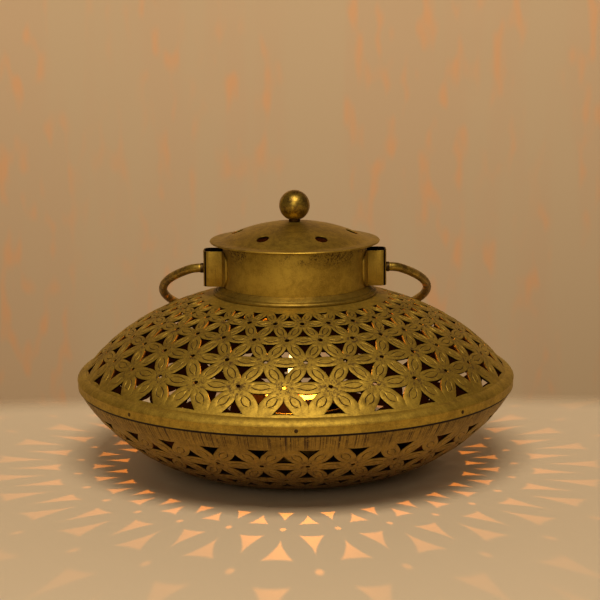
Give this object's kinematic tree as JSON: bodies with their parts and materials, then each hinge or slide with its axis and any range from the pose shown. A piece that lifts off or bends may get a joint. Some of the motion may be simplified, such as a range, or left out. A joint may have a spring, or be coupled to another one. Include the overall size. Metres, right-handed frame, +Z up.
{
  "type": "incense burner",
  "caption": "Wide pierced brass incense burner with a vented lift-off lid, a swinging bail handle and a loose inner bowl holding a tealight.",
  "frame": {"origin": "centre of the underside, on the surface that the burner stands on", "axes": "+Z up, +X to the viewer's right through the right-hand bracket, +Y to the back, where the bail lies"},
  "size_m": [0.25, 0.25, 0.1593],
  "materials": {
    "pierced_brass": "antique brass sheet, pierced and engraved, dark patina in the recesses",
    "neck_brass": "antique brass sheet, satin with dark speckles",
    "lid_brass": "antique brass, satin, worn bright on top",
    "rod_brass": "antique brass rod, satin",
    "knob_brass": "antique brass ball, half polished, blackened at the poles",
    "dark_brass": "blackened brass",
    "bowl_brass": "plain spun brass, warm and slightly sooted",
    "tealight_foil": "thin bright foil cup",
    "candle_wax": null,
    "cotton_wick": "charred braided cotton"
  },
  "bodies": {
    "body": {"upper_shell": "pierced_brass", "lower_shell": "pierced_brass", "seam_rivets": "dark_brass", "neck_band": "neck_brass", "neck_flange": "neck_brass", "bracket_left": "neck_brass", "bracket_right": "neck_brass"},
    "bail": {"bail_handle": "rod_brass", "bail_washer_left": "dark_brass", "bail_washer_right": "dark_brass"},
    "lid": {"lid_dome": "lid_brass", "lid_skirt": "lid_brass", "knob_collar": "dark_brass", "knob_ball": "knob_brass", "knob_rivet": "dark_brass"},
    "bowl": {"bowl_foot": "bowl_brass", "burner_bowl": "bowl_brass"},
    "tealight": {"tealight_cup": "tealight_foil", "tealight_wax": "candle_wax", "wick_base": "tealight_foil", "tealight_wick": "cotton_wick"}
  },
  "joints": [
    {"name": "bail_swing", "type": "hinge", "parent": "body", "child": "bail", "pos_m": [0, 0, 0.115], "axis": [1, 0, 0], "range_deg": [0, 228.4]},
    {"name": "lid_lift", "type": "slide", "parent": "body", "child": "lid", "axis": [0, 0, 1], "range_m": [0, 0.06]},
    {"name": "bowl_lift", "type": "slide", "parent": "body", "child": "bowl", "axis": [0, 0, 1], "range_m": [0, 0.055]},
    {"name": "tealight_lift", "type": "slide", "parent": "bowl", "child": "tealight", "axis": [0, 0, 1], "range_m": [0, 0.03]}
  ]
}
